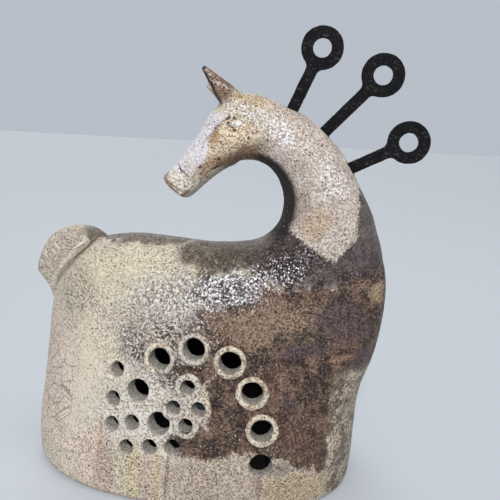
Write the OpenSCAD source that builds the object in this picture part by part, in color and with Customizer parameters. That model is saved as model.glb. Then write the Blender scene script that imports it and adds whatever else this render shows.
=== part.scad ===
// Smoke-fired horse figurine. A hollow, legless clay body stands on its own foot rim and is
// open underneath. Its neck curls back over it, and three loose rods with ring eyes stand in
// the crest as a mane. X runs from the tail to the chest, the pierced front faces -Y, Z is up,
// and the origin is on the ground under the middle of the whole figure.

/* [Body] */
// Length of the foot, from the rump to the chest
foot_length = 268; // [255:1:285]
// Depth of the foot, from the pierced front to the plain back
foot_depth = 172; // [155:1:185]
// Height of the back above the ground
back_height = 190; // [180:1:205]
// Thickness of the clay wall
wall = 12; // [9:0.5:14]
// Bevel round the outer edge of the foot
foot_bevel = 3; // [1:0.5:5]

/* [Neck and head] */
// Height unit of the neck, from the middle of its root to the poll
neck_rise = 100; // [92:1:110]
// Length unit of the neck's curl back over the body
neck_reach = 100; // [94:1:106]
// Width unit of the neck across the crest
neck_width = 60; // [54:1:66]
// Length of the head, from the poll to the muzzle
head_length = 90; // [84:1:96]
// Width of the head across the cheeks
head_width = 43; // [39:1:47]
// Diameter of the eye hollows
eye_diameter = 9; // [6:0.5:10]
// Depth of the eye hollows
eye_depth = 1.2; // [0.6:0.1:1.6]

/* [Ears] */
// Length of the near ear above the poll
near_ear_length = 28; // [24:1:32]
// Length of the far ear above the poll
far_ear_length = 22; // [18:1:26]
// Width of the ears at the root
ear_width = 18; // [15:0.5:20]
// Thickness of the ears at the root
ear_thickness = 12; // [9:0.5:13]
// Lean of the near ear from upright, towards the muzzle
near_ear_lean = 43; // [36:1:50]
// Lean of the far ear from upright, towards the muzzle
far_ear_lean = 63; // [56:1:70]

/* [Tail] */
// Size unit of the tail slab's outline
tail_size = 64; // [58:1:68]
// Thickness of the tail slab
tail_thickness = 18; // [14:0.5:20]
// Rounding of the tail slab's rim
tail_round = 6; // [4:0.5:6.5]
// Crown of the tail slab's sides
tail_crown = 1.5; // [0.5:0.1:2.5]

/* [Pierced holes] */
// Diameter of the large holes
large_hole = 16.8; // [14:0.2:17.4]
// Diameter of the small holes
small_hole = 11.2; // [9:0.2:11.8]
// How far the holes are turned from square to the wall towards level
bore_level = 0.8; // [0:0.1:1]
// Width of the clay rim of a collar
collar_rim = 3.8; // [2.8:0.1:4.2]
// Height of the collars above the wall
collar_height = 2.4; // [1.5:0.1:3]
// Width of the clay rim of a pad
pad_rim = 4.6; // [3.6:0.1:5]
// Height of the pads above the wall
pad_height = 1.8; // [1.2:0.1:2.4]

/* [Mane rods] */
// Reach of each rod from the crest to the middle of its ring eye
rod_reaches = [48.5, 57.5, 45]; // [40:0.5:65]
// Angle of each rod above level
rod_angles = [66.5, 47, 27.5]; // [20:0.5:70]
// Outer diameter of the ring eyes
ring_outer = 31.5; // [28:0.5:33]
// Diameter of the hole in the ring eyes
ring_inner = 14.4; // [12:0.2:16]
// Width of the flat bars
bar_width = 9.2; // [8:0.2:10.4]
// Thickness of the bars and ring eyes
bar_thickness = 5; // [4:0.2:6]
// Fillets between a bar and its ring eye
bar_fillet = 5; // [3:0.5:7]
// Depth of the bars' seats in the crest
seat_depth = 8; // [6:0.5:10]
// Diameter of the round tangs below the bars
tang_diameter = 4.6; // [3.6:0.1:5]
// Length of the round tangs
tang_length = 14; // [11:0.5:15]

/* [Hidden] */

// Points round a ring of the clay skin, and rings for each row of its tables
around = 36;
steps = 2;
// Radial clearance of a tang in its bore, and clearance round a bar in its seat
tang_clearance = 0.08;
seat_clearance = 0.3;
// Overrun of cuts, depth of clay rims below the skin, and facets of rounds and of the holes
overrun = 5;
rim_root = 4;
round_facets = 36;
hole_facets = 24;

// Rows of the body from the foot to the root of the neck. Each holds shares: the rump or back
// end of the row along X and Z, its chest end along X and Z, its half depth, how far its sides
// hang below its ends, and the squareness of its rump half and of its chest half.
body_row_shares = [
    [-0.500, 0.000, 0.500, 0.000, 0.500, 0.000, 2.4, 2.4],
    [-0.506, 0.095, 0.507, 0.095, 0.494, 0.000, 2.4, 2.4],
    [-0.504, 0.210, 0.510, 0.210, 0.470, 0.000, 2.4, 2.4],
    [-0.496, 0.340, 0.513, 0.335, 0.436, 0.000, 2.3, 2.3],
    [-0.486, 0.475, 0.526, 0.455, 0.400, 0.000, 2.3, 2.3],
    [-0.476, 0.605, 0.548, 0.565, 0.366, 0.010, 2.3, 2.3],
    [-0.468, 0.715, 0.564, 0.675, 0.337, 0.030, 2.3, 2.3],
    [-0.455, 0.805, 0.569, 0.765, 0.313, 0.060, 2.3, 2.2],
    [-0.425, 0.880, 0.569, 0.820, 0.293, 0.090, 2.3, 2.2],
    [-0.372, 0.942, 0.567, 0.875, 0.279, 0.120, 2.3, 2.1],
    [-0.300, 0.985, 0.563, 0.915, 0.265, 0.140, 2.2, 2.1],
    [-0.212, 1.005, 0.558, 0.950, 0.251, 0.150, 2.2, 2.0],
    [-0.110, 1.000, 0.550, 0.990, 0.237, 0.145, 2.1, 2.0],
    [0.000, 0.994, 0.543, 1.030, 0.223, 0.130, 2.0, 2.0],
    [0.100, 1.000, 0.533, 1.070, 0.209, 0.100, 2.0, 2.0],
    [0.172, 1.018, 0.522, 1.115, 0.195, 0.050, 2.0, 2.0],
    [0.214, 1.055, 0.510, 1.163, 0.184, 0.000, 2.0, 2.0],
];
// The last row of the body that the hollow reaches
ceiling_row = 13;

// Rows of the neck above its root, measured from the root's middle: the throat end of the row
// along X and Z, its crest end along X and Z, its half width, drop and squareness, as above.
neck_row_shares = [
    [-0.320, -0.005, 0.347, 0.200, 0.510, 0, 2.0, 2.0],
    [-0.295, 0.110, 0.297, 0.295, 0.490, 0, 2.0, 2.0],
    [-0.300, 0.220, 0.230, 0.415, 0.475, 0, 2.0, 2.0],
    [-0.340, 0.325, 0.135, 0.550, 0.460, 0, 2.0, 2.0],
    [-0.410, 0.400, 0.010, 0.685, 0.445, 0, 2.0, 2.0],
    [-0.490, 0.440, -0.143, 0.795, 0.425, 0, 2.0, 2.1],
    [-0.573, 0.450, -0.308, 0.875, 0.400, 0, 2.0, 2.2],
    [-0.643, 0.440, -0.483, 0.940, 0.370, 0, 2.0, 2.3],
];

// Rows of the head from the poll to the muzzle, measured from the middle of the neck's last
// row: the jaw end along X and Z, the brow or nose end along X and Z, then as above.
head_row_shares = [
    [-0.120, -0.297, -0.100, 0.300, 0.510, 0, 2.1, 2.4],
    [-0.147, -0.313, -0.239, 0.247, 0.500, 0, 2.2, 2.6],
    [-0.185, -0.329, -0.326, 0.154, 0.475, 0, 2.2, 2.9],
    [-0.239, -0.362, -0.397, 0.062, 0.440, 0, 2.2, 3.1],
    [-0.310, -0.411, -0.467, -0.058, 0.400, 0, 2.2, 3.2],
    [-0.380, -0.470, -0.538, -0.161, 0.370, 0, 2.2, 3.2],
    [-0.446, -0.535, -0.609, -0.259, 0.350, 0, 2.3, 3.1],
    [-0.500, -0.590, -0.679, -0.340, 0.335, 0, 2.4, 3.0],
    [-0.543, -0.623, -0.745, -0.395, 0.320, 0, 2.4, 2.8],
    [-0.582, -0.630, -0.780, -0.438, 0.280, 0, 2.4, 2.6],
    [-0.609, -0.612, -0.777, -0.476, 0.205, 0, 2.4, 2.4],
];

// A row of shares at its real size: four ends, half depth, drop and the two squarenesses
function sized_row(row, origin, size_x, size_y, size_z) = [
    origin.x + row[0] * size_x,
    origin.z + row[1] * size_z,
    origin.x + row[2] * size_x,
    origin.z + row[3] * size_z,
    row[4] * size_y,
    row[5] * size_z,
    row[6],
    row[7],
];
function row_middle(row) = [(row[0] + row[2]) / 2, 0, (row[1] + row[3]) / 2];
function last_of(list) = list[len(list) - 1];

body_rows = [for (row = body_row_shares)
    sized_row(row, [0, 0, 0], foot_length, foot_depth, back_height)];
neck_root = row_middle(last_of(body_rows));
neck_rows = [for (row = neck_row_shares)
    sized_row(row, neck_root, neck_reach, neck_width, neck_rise)];
head_root = row_middle(last_of(neck_rows));
head_rows = [for (row = head_row_shares)
    sized_row(row, head_root, head_length, head_width, head_length)];

// The whole skin is one smooth run of rows, so that neighbouring pieces meet face to face.
skin_rows = concat(body_rows, neck_rows, head_rows);
root_row = len(body_rows) - 1;
poll_row = root_row + len(neck_rows);
muzzle_row = poll_row + len(head_rows);

// A smooth curve from b to c, with a and d as their neighbours
function curve(a, b, c, d, t) =
    b + t * (c - a) / 2 + t * t * (a - 2.5 * b + 2 * c - 0.5 * d)
    + t * t * t * (1.5 * b - 0.5 * a - 1.5 * c + 0.5 * d);
function skin_row(place) =
    let (i = min(floor(place), muzzle_row - 1))
    curve(skin_rows[max(i - 1, 0)], skin_rows[i], skin_rows[i + 1],
        skin_rows[min(i + 2, muzzle_row)], place - i);

// Points of the skin. The angle runs from the chest end, and the front side has negative ones.
function signed_power(value, exponent) = sign(value) * pow(abs(value), exponent);
function row_point(row, angle) =
    let (squareness = cos(angle) > 0 ? row[7] : row[6],
         along = signed_power(cos(angle), 2 / squareness),
         across = signed_power(sin(angle), 2 / squareness))
    row_middle(row)
    + [along * (row[2] - row[0]) / 2,
       across * row[4],
       along * (row[3] - row[1]) / 2 - row[5] * across * across];
function skin_point(place, angle) = row_point(skin_row(place), angle);
function skin_ring(place) = [for (j = [0:around - 1]) skin_point(place, 360 * j / around)];

function unit(v) = v / norm(v);
function skin_normal(place, angle) =
    let (turn = 180 / around,
         below = max(place - 1 / steps, 0),
         above = min(place + 1 / steps, muzzle_row))
    unit(cross(skin_point(place, angle + turn) - skin_point(place, angle - turn),
        skin_point(above, angle) - skin_point(below, angle)));

// The inside of the wall, and the bevelled foot ring
function inner_point(place, angle) =
    let (p = skin_point(place, angle) - wall * skin_normal(place, angle))
    place == 0 ? [p.x, p.y, 0] : p;
function inner_ring(place) = [for (j = [0:around - 1]) inner_point(place, 360 * j / around)];
function foot_ring(inset, height) =
    let (row = body_rows[0] + inset * [1, 0, -1, 0, -1, 0, 0, 0])
    [for (j = [0:around - 1]) row_point(row, 360 * j / around) + [0, 0, height]];

// A closed solid through a list of rings, with a fan of triangles over each end. The fans meet at
// the middles of the end rings, unless two other points are given.
module loft(rings, end_points = []) {
    count = len(rings[0]);
    total = len(rings) * count;
    sides = [for (i = [0:len(rings) - 2]) for (j = [0:count - 1])
        let (a = i * count + j, b = i * count + (j + 1) % count)
        each [[a, b + count, b], [a, a + count, b + count]]];
    first_cap = [for (j = [0:count - 1]) [total, j, (j + 1) % count]];
    last_cap = [for (j = [0:count - 1])
        [total + 1, total - count + (j + 1) % count, total - count + j]];
    middles = len(end_points) == 2 ? end_points : [ring_mean(rings[0]), ring_mean(last_of(rings))];
    polyhedron(
        concat([for (ring = rings) each ring], middles),
        concat(sides, first_cap, last_cap));
}
function ring_mean(ring) = [for (p = ring) 1 / len(ring)] * ring;

// A solid block of the skin between two rows, and one round a place with some rows each way
module skin_block(first, last) {
    loft([for (i = [first * steps:last * steps]) skin_ring(i / steps)]);
}
module skin_near(place, rows) {
    skin_block(max(floor(place) - rows, 0), min(floor(place) + 1 + rows, muzzle_row));
}

// Place on the front side of the skin that lies at x along the body and z above the ground
function front_angle(row, x) =
    let (along = (x - row_middle(row).x) * 2 / (row[2] - row[0]),
         squareness = along > 0 ? row[7] : row[6])
    -acos(signed_power(along, squareness / 2));
function front_place(x, z, low, high, halvings) =
    let (middle = (low + high) / 2, row = skin_row(middle))
    halvings == 0 ? middle
    : row_point(row, front_angle(row, x)).z < z ? front_place(x, z, middle, high, halvings - 1)
    : front_place(x, z, low, middle, halvings - 1);

// Where each hole is pierced, as shares of foot_length from the middle and of back_height
collared_hole_shares = [
    [-0.045, 0.578], [0.052, 0.628], [0.156, 0.592], [0.224, 0.482], [0.258, 0.340],
];
padded_hole_shares = [
    [0.045, 0.486], [0.009, 0.403], [0.080, 0.407], [0.048, 0.339],
];
plain_large_hole_shares = [
    [0.263, 0.201], [-0.103, 0.443], [-0.033, 0.329],
];
plain_small_hole_shares = [
    [-0.173, 0.510], [-0.179, 0.394], [-0.176, 0.295], [-0.114, 0.315],
    [-0.124, 0.218], [-0.055, 0.234], [0.012, 0.246],
];
// The holes lie below this row of the body, and each is placed on the skin by halving the span.
pierced_row = 7;
halvings = 16;

// The middle of a hole's mouth on the skin, and the skin's normal there
function hole_place(shares) =
    front_place(shares.x * foot_length, shares.y * back_height, 0, pierced_row, halvings);
function hole_angle(shares) = front_angle(skin_row(hole_place(shares)), shares.x * foot_length);
function hole_point(shares) = skin_point(hole_place(shares), hole_angle(shares));
function hole_normal(shares) = skin_normal(hole_place(shares), hole_angle(shares));

// Carries children drawn along Z to a hole's mouth, turned towards level by the share level
module at_hole(shares, level) {
    normal = hole_normal(shares);
    axis = unit([normal.x, normal.y, normal.z * (1 - level)]);
    translate(hole_point(shares))
        rotate([0, acos(axis.z), atan2(axis.y, axis.x)])
            children();
}

module bore(shares, diameter) {
    at_hole(shares, bore_level)
        translate([0, 0, -wall - overrun])
            cylinder(d = diameter, h = wall + 2 * overrun, $fn = hole_facets);
}

module all_bores() {
    for (shares = concat(collared_hole_shares, plain_large_hole_shares)) bore(shares, large_hole);
    for (shares = concat(padded_hole_shares, plain_small_hole_shares)) bore(shares, small_hole);
}

// A domed ring of clay round a hole, not yet trimmed to the wall
module clay_rim(shares, hole, rim, height) {
    middle = (hole + rim) / 2;
    core = rim / 2;
    at_hole(shares, 0)
        rotate_extrude($fn = hole_facets)
            polygon(concat(
                [[core, -rim_root], [middle + core, -rim_root]],
                [for (turn = [0:30:90]) [middle + core * cos(turn), height * sin(turn)]],
                [[core, height]]));
}

module body_shell() {
    color("tan") in_frame() difference() {
        loft(concat(
            [for (i = [ceiling_row:-1:0]) inner_ring(i)],
            [foot_ring(foot_bevel, 0), foot_ring(0, foot_bevel)],
            [for (i = [1:root_row * steps]) skin_ring(i / steps)]));
        all_bores();
    }
}

module hole_collar(number) {
    shares = collared_hole_shares[number - 1];
    color("cornsilk") in_frame() difference() {
        clay_rim(shares, large_hole, collar_rim, collar_height);
        skin_near(hole_place(shares), 1);
        bore(shares, large_hole);
    }
}

// The pads are pressed into one clover. Its outline goes round circles about the four holes, and
// it lies square to the wall at the middle of them.
pad_points = [for (shares = padded_hole_shares) hole_point(shares)];
pad_middle = ring_mean(pad_points);
pad_normal = unit(ring_mean([for (shares = padded_hole_shares) hole_normal(shares)]));
pad_right = unit(cross([0, 0, 1], pad_normal));
pad_up = cross(pad_normal, pad_right);
pad_around = 72;
function pad_reach(direction, radius) =
    max([for (p = pad_points)
        let (across = norm(cross(p - pad_middle, direction)), along = (p - pad_middle) * direction)
        across < radius ? along + sqrt(radius * radius - across * across) : 0]);
function pad_ring(inset, height) = [for (j = [0:pad_around - 1])
    let (turn = 360 * j / pad_around,
         direction = cos(turn) * pad_right + sin(turn) * pad_up)
    pad_middle + height * pad_normal
        + direction * (pad_reach(direction, small_hole / 2 + pad_rim) - inset)];

module small_hole_pads() {
    color("antiquewhite") in_frame() difference() {
        loft(concat([pad_ring(0, -rim_root)],
            [for (turn = [0:30:90])
                pad_ring(pad_height * (1 - cos(turn)), pad_height * sin(turn))]));
        skin_near(hole_place(padded_hole_shares[1]), 2);
        for (shares = padded_hole_shares) bore(shares, small_hole);
    }
}

// Each rod enters the crest at a share of the way from the neck's root to the poll.
rod_place_shares = [0.84, 0.64, 0.40];
function rod_entry(number) =
    skin_point(root_row + rod_place_shares[number - 1] * (poll_row - root_row), 0);

// Carries children drawn along X to the crest, where a rod enters it
module at_crest(number) {
    translate(rod_entry(number)) rotate([0, -rod_angles[number - 1], 0]) children();
}

module neck() {
    color("wheat") in_frame() difference() {
        skin_block(root_row, poll_row);
        for (number = [1:3]) at_crest(number) rod_socket();
    }
}

module rod_socket() {
    bore_radius = tang_diameter / 2 + tang_clearance;
    translate([(overrun - seat_depth) / 2, 0, 0])
        cube([seat_depth + 2 * seat_clearance + overrun, bar_thickness + 2 * seat_clearance,
            bar_width + 2 * seat_clearance], center = true);
    translate([-seat_depth - tang_length - seat_clearance, 0, 0])
        rotate([0, 90, 0])
            cylinder(r = bore_radius, h = tang_length + seat_depth, $fn = hole_facets);
}

module head() {
    color("burlywood") in_frame() difference() {
        skin_block(poll_row, muzzle_row);
        for (side = [-1, 1]) eye_hollow(side);
    }
}

// Each eye is a shallow hollow, pressed into the cheek below the ear.
eye_place_share = 0.27;
eye_angle = 50;
module eye_hollow(side) {
    place = poll_row + eye_place_share * (muzzle_row - poll_row);
    normal = skin_normal(place, side * eye_angle);
    radius = (eye_diameter * eye_diameter / 4 + eye_depth * eye_depth) / (2 * eye_depth);
    translate(skin_point(place, side * eye_angle) + (radius - eye_depth) * normal)
        sphere(r = radius, $fn = round_facets);
}

// Rows of an ear from its buried root to its tip: the share of its length along it, the shares
// of its width and thickness, and how far its front is scooped, as a share of its thickness.
ear_row_shares = [
    [-0.35, 0.50, 0.50, 0.00],
    [0.00, 0.47, 0.46, 0.06],
    [0.25, 0.39, 0.40, 0.16],
    [0.50, 0.29, 0.32, 0.20],
    [0.72, 0.19, 0.24, 0.14],
    [0.88, 0.12, 0.16, 0.04],
    [0.97, 0.065, 0.09, 0.00],
    [1.00, 0.025, 0.035, 0.00],
];
ear_around = 20;
function ear_ring(row, length, side) = [for (j = [0:ear_around - 1])
    let (angle = 360 * j / ear_around, scoop = max(-side * sin(angle), 0))
    [row[1] * ear_width * cos(angle),
     (row[2] * sin(angle) + side * row[3] * scoop * scoop) * ear_thickness,
     row[0] * length]];

// Ears stand on the crown, at a share of the way from the poll to the muzzle. A share of
// head_width sets them apart from the middle, and they are splayed outwards by an angle.
near_ear_place_share = 0.15;
far_ear_place_share = 0.177;
ear_apart_share = 0.27;
ear_splay = 8;
module ear(place_share, length, lean, side) {
    place = poll_row + place_share * (muzzle_row - poll_row);
    crown = skin_point(place, 0);
    difference() {
        translate([crown.x, side * ear_apart_share * head_width, crown.z])
            rotate([-side * ear_splay, -lean, 0])
                loft([for (row = ear_row_shares) ear_ring(row, length, side)]);
        skin_near(place, 3);
    }
}

module near_ear() {
    color("peru") in_frame() ear(near_ear_place_share, near_ear_length, near_ear_lean, -1);
}

module far_ear() {
    color("sienna") in_frame() ear(far_ear_place_share, far_ear_length, far_ear_lean, 1);
}

// The tail's outline round the rump's top corner: shares of tail_size along X and Z, and the
// share of the slab's rounding that its rim has there
tail_outline_shares = [
    [-0.18, -0.585, 0.3], [-0.25, -0.50, 0.4], [-0.32, -0.39, 0.7], [-0.42, -0.28, 1],
    [-0.44, -0.19, 1], [-0.41, -0.06, 1], [-0.33, 0.12, 1], [-0.21, 0.28, 1],
    [-0.06, 0.37, 1], [0.12, 0.415, 1], [0.29, 0.41, 1], [0.43, 0.36, 0.8],
    [0.54, 0.25, 0.5], [0.40, 0.04, 0.8], [0.16, -0.12, 1], [0.00, -0.38, 0.7],
];
// The row of the body whose rump end is the tail's root
tail_row = 8;
tail_root = [body_rows[tail_row][0], body_rows[tail_row][1]];
tail_count = len(tail_outline_shares);
tail_rim_shares = [for (i = [0:tail_count - 1]) for (t = [0, 0.5])
    curve(tail_outline_shares[(i + tail_count - 1) % tail_count], tail_outline_shares[i],
        tail_outline_shares[(i + 1) % tail_count], tail_outline_shares[(i + 2) % tail_count], t)];
tail_outline = [for (share = tail_rim_shares) tail_root + tail_size * [share.x, share.y]];

// The tail's outline drawn in by an inset, at a place across the slab
function tail_ring(inset, y) =
    let (count = len(tail_outline))
    [for (i = [0:count - 1])
        let (along = unit(tail_outline[(i + 1) % count] - tail_outline[(i + count - 1) % count]),
             p = tail_outline[i] - inset * tail_rim_shares[i].z * [-along.y, along.x])
        [p.x, y, p.y]];

module tail() {
    core = tail_thickness / 2 - tail_round;
    middle = ring_mean(tail_outline);
    side = tail_thickness / 2 + tail_crown;
    color("khaki") in_frame() difference() {
        loft([for (turn = [-90:30:90])
            tail_ring(tail_round * (1 - cos(turn)), sign(turn) * core + tail_round * sin(turn))],
            [[middle.x, -side, middle.y], [middle.x, side, middle.y]]);
        skin_near(tail_row, 4);
    }
}

// A rod: a round tang, a flat bar and a ring eye, joined to the bar by fillets
module mane_rod(number) {
    reach = rod_reaches[number - 1];
    fillet_side = bar_width / 2 + bar_fillet;
    fillet_reach = ring_outer / 2 + bar_fillet;
    fillet_back = sqrt(fillet_reach * fillet_reach - fillet_side * fillet_side);
    color("dimgray") in_frame() at_crest(number) {
        rotate([90, 0, 0]) linear_extrude(bar_thickness, center = true) difference() {
            union() {
                translate([-seat_depth, -bar_width / 2]) square([reach + seat_depth, bar_width]);
                translate([reach, 0]) circle(d = ring_outer, $fn = round_facets);
                translate([reach, 0]) polygon([[0, 0], [-fillet_back, fillet_side],
                    [-fillet_back, -fillet_side]]);
            }
            translate([reach, 0]) circle(d = ring_inner, $fn = round_facets);
            for (side = [-1, 1])
                translate([reach - fillet_back, side * fillet_side])
                    circle(r = bar_fillet, $fn = round_facets);
        }
        translate([-seat_depth - tang_length, 0, 0]) rotate([0, 90, 0])
            cylinder(d = tang_diameter, h = tang_length, $fn = hole_facets);
    }
}

// The origin lies under the middle of the whole figure, between the tail and the ring eyes.
figure_low_x = min([for (p = tail_outline) p.x]);
figure_high_x = ring_outer / 2
    + max([for (i = [0:2]) rod_entry(i + 1).x + rod_reaches[i] * cos(rod_angles[i])]);
module in_frame() {
    translate([-(figure_low_x + figure_high_x) / 2, 0, 0]) children();
}

body_shell();
neck();
head();
near_ear();
far_ear();
tail();
for (number = [1:5])
    hole_collar(number);
small_hole_pads();
for (number = [1:3])
    mane_rod(number);
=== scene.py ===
"""Looks of the smoke-fired horse figurine: a pierced clay body, a neck curled back over it,
and three blackened iron rods in its crest. The sizes of the clay and the iron are in
millimetres, which MM turns into metres. Bounds along x, y and z in the materials, and the places
of the lights and the camera, are in metres."""
import math

import bmesh
import bpy
import numpy as np
from mathutils import Matrix, Vector
from mathutils.bvhtree import BVHTree


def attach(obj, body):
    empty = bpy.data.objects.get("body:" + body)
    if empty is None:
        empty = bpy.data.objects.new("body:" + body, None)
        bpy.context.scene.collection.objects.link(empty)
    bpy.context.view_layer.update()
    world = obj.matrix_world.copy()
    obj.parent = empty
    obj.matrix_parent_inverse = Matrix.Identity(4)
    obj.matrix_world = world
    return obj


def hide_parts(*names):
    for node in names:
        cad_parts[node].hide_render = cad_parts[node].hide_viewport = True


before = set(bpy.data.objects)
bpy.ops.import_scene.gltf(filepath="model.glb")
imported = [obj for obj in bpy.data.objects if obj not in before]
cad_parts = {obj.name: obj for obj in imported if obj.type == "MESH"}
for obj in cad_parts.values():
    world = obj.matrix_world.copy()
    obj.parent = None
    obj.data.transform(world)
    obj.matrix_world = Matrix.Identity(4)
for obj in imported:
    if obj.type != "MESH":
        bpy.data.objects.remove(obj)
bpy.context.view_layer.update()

MM = 0.001

# How far the foot's middle lies from the whole figure's, towards the tail
FIGURE_SHIFT = 15.974

# The clay skin, row by row

FOOT_LENGTH, FOOT_DEPTH, BACK_HEIGHT = 268, 172, 190
NECK_REACH, NECK_WIDTH, NECK_RISE = 100, 60, 100
HEAD_LENGTH, HEAD_WIDTH = 90, 43
WALL, FOOT_BEVEL, CEILING_ROW = 12, 3, 13

# Each row holds shares of these sizes: its back end along X and Z, its chest end along X and Z,
# its half depth and the drop of its sides. The squareness of its back half and of its chest half
# comes last.
BODY_ROWS = [
    [-0.500, 0.000, 0.500, 0.000, 0.500, 0.000, 2.4, 2.4],
    [-0.506, 0.095, 0.507, 0.095, 0.494, 0.000, 2.4, 2.4],
    [-0.504, 0.210, 0.510, 0.210, 0.470, 0.000, 2.4, 2.4],
    [-0.496, 0.340, 0.513, 0.335, 0.436, 0.000, 2.3, 2.3],
    [-0.486, 0.475, 0.526, 0.455, 0.400, 0.000, 2.3, 2.3],
    [-0.476, 0.605, 0.548, 0.565, 0.366, 0.010, 2.3, 2.3],
    [-0.468, 0.715, 0.564, 0.675, 0.337, 0.030, 2.3, 2.3],
    [-0.455, 0.805, 0.569, 0.765, 0.313, 0.060, 2.3, 2.2],
    [-0.425, 0.880, 0.569, 0.820, 0.293, 0.090, 2.3, 2.2],
    [-0.372, 0.942, 0.567, 0.875, 0.279, 0.120, 2.3, 2.1],
    [-0.300, 0.985, 0.563, 0.915, 0.265, 0.140, 2.2, 2.1],
    [-0.212, 1.005, 0.558, 0.950, 0.251, 0.150, 2.2, 2.0],
    [-0.110, 1.000, 0.550, 0.990, 0.237, 0.145, 2.1, 2.0],
    [0.000, 0.994, 0.543, 1.030, 0.223, 0.130, 2.0, 2.0],
    [0.100, 1.000, 0.533, 1.070, 0.209, 0.100, 2.0, 2.0],
    [0.172, 1.018, 0.522, 1.115, 0.195, 0.050, 2.0, 2.0],
    [0.214, 1.055, 0.510, 1.163, 0.184, 0.000, 2.0, 2.0],
]
NECK_ROWS = [
    [-0.320, -0.005, 0.347, 0.200, 0.510, 0, 2.0, 2.0],
    [-0.295, 0.110, 0.297, 0.295, 0.490, 0, 2.0, 2.0],
    [-0.300, 0.220, 0.230, 0.415, 0.475, 0, 2.0, 2.0],
    [-0.340, 0.325, 0.135, 0.550, 0.460, 0, 2.0, 2.0],
    [-0.410, 0.400, 0.010, 0.685, 0.445, 0, 2.0, 2.0],
    [-0.490, 0.440, -0.143, 0.795, 0.425, 0, 2.0, 2.1],
    [-0.573, 0.450, -0.308, 0.875, 0.400, 0, 2.0, 2.2],
    [-0.643, 0.440, -0.483, 0.940, 0.370, 0, 2.0, 2.3],
]
HEAD_ROWS = [
    [-0.120, -0.297, -0.100, 0.300, 0.510, 0, 2.1, 2.4],
    [-0.147, -0.313, -0.239, 0.247, 0.500, 0, 2.2, 2.6],
    [-0.185, -0.329, -0.326, 0.154, 0.475, 0, 2.2, 2.9],
    [-0.239, -0.362, -0.397, 0.062, 0.440, 0, 2.2, 3.1],
    [-0.310, -0.411, -0.467, -0.058, 0.400, 0, 2.2, 3.2],
    [-0.380, -0.470, -0.538, -0.161, 0.370, 0, 2.2, 3.2],
    [-0.446, -0.535, -0.609, -0.259, 0.350, 0, 2.3, 3.1],
    [-0.500, -0.590, -0.679, -0.340, 0.335, 0, 2.4, 3.0],
    [-0.543, -0.623, -0.745, -0.395, 0.320, 0, 2.4, 2.8],
    [-0.582, -0.630, -0.780, -0.438, 0.280, 0, 2.4, 2.6],
    [-0.609, -0.612, -0.777, -0.476, 0.205, 0, 2.4, 2.4],
]


def sized(rows, origin, along, across, up):
    """Rows of shares at their real size in millimetres."""
    scale = np.array([along, up, along, up, across, up, 1, 1], float)
    start = np.array([origin[0], origin[1], origin[0], origin[1], 0, 0, 0, 0], float)
    return np.array(rows, float) * scale + start


def middle(row):
    return (row[0] + row[2]) / 2, (row[1] + row[3]) / 2


body_rows = sized(BODY_ROWS, (-FIGURE_SHIFT, 0), FOOT_LENGTH, FOOT_DEPTH, BACK_HEIGHT)
neck_rows = sized(NECK_ROWS, middle(body_rows[-1]), NECK_REACH, NECK_WIDTH, NECK_RISE)
head_rows = sized(HEAD_ROWS, middle(neck_rows[-1]), HEAD_LENGTH, HEAD_WIDTH, HEAD_LENGTH)
SKIN = np.concatenate([body_rows, neck_rows, head_rows])
ROOT = len(body_rows) - 1
POLL = ROOT + len(neck_rows)
MUZZLE = len(SKIN) - 1


def curve(a, b, c, d, t):
    """A smooth way from b to c, as t goes from 0 to 1, which also heeds a and d."""
    return (b + t * (c - a) / 2 + t ** 2 * (a - 2.5 * b + 2 * c - 0.5 * d)
            + t ** 3 * (1.5 * b - 0.5 * a - 1.5 * c + 0.5 * d))


def skin_row(place):
    """The row of the skin at a place between two rows of the tables, on a smooth curve."""
    i = np.clip(np.floor(place).astype(int), 0, MUZZLE - 1)
    t = (place - i)[..., None]
    return curve(SKIN[np.maximum(i - 1, 0)], SKIN[i], SKIN[i + 1],
                 SKIN[np.minimum(i + 2, MUZZLE)], t)


def row_point(row, angle):
    """A point of a row: the angle runs from its chest end, and the pierced side is negative."""
    c, s = np.cos(angle), np.sin(angle)
    square = np.where(c > 0, row[..., 7], row[..., 6])
    along = np.sign(c) * np.abs(c) ** (2 / square)
    across = np.sign(s) * np.abs(s) ** (2 / square)
    x = (row[..., 0] + row[..., 2]) / 2 + along * (row[..., 2] - row[..., 0]) / 2
    z = ((row[..., 1] + row[..., 3]) / 2 + along * (row[..., 3] - row[..., 1]) / 2
         - row[..., 5] * across * across)
    return np.stack([x, across * row[..., 4], z], -1) * MM


def skin(place, angle):
    return row_point(skin_row(np.asarray(place, float)), np.asarray(angle, float))


def skin_normal(place, angle):
    place, turn = np.asarray(place, float), math.radians(4)
    out = np.cross(skin(place, angle + turn) - skin(place, angle - turn),
                   skin(np.minimum(place + 0.4, MUZZLE), angle)
                   - skin(np.maximum(place - 0.4, 0), angle))
    return out / np.linalg.norm(out, axis=-1, keepdims=True)


def front_spot(x, z, low=0, high=7):
    """The place and angle on the pierced side that lie at x and z, in millimetres."""
    for _ in range(24):
        place = np.array((low + high) / 2)
        row = skin_row(place)
        along = (x - (row[0] + row[2]) / 2) * 2 / (row[2] - row[0])
        square = row[7] if along > 0 else row[6]
        angle = -math.acos(math.copysign(abs(along) ** (square / 2), along))
        if row_point(row, np.array(angle))[2] < z * MM:
            low = float(place)
        else:
            high = float(place)
    return float(place), angle


# Bench tools

MARK_SHARPNESS = 1.4


def deselect_all():
    bpy.ops.object.select_all(action="DESELECT")


def only(piece):
    """Selects one piece alone."""
    deselect_all()
    piece.select_set(True)
    bpy.context.view_layer.objects.active = piece
    return piece


def new_piece(name):
    piece = bpy.context.object
    piece.name = name
    piece.data.name = name
    return piece


def settle(piece):
    """Puts the piece's place and turn into its mesh."""
    only(piece)
    bpy.ops.object.transform_apply(location=True, rotation=True, scale=True)
    return piece


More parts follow.
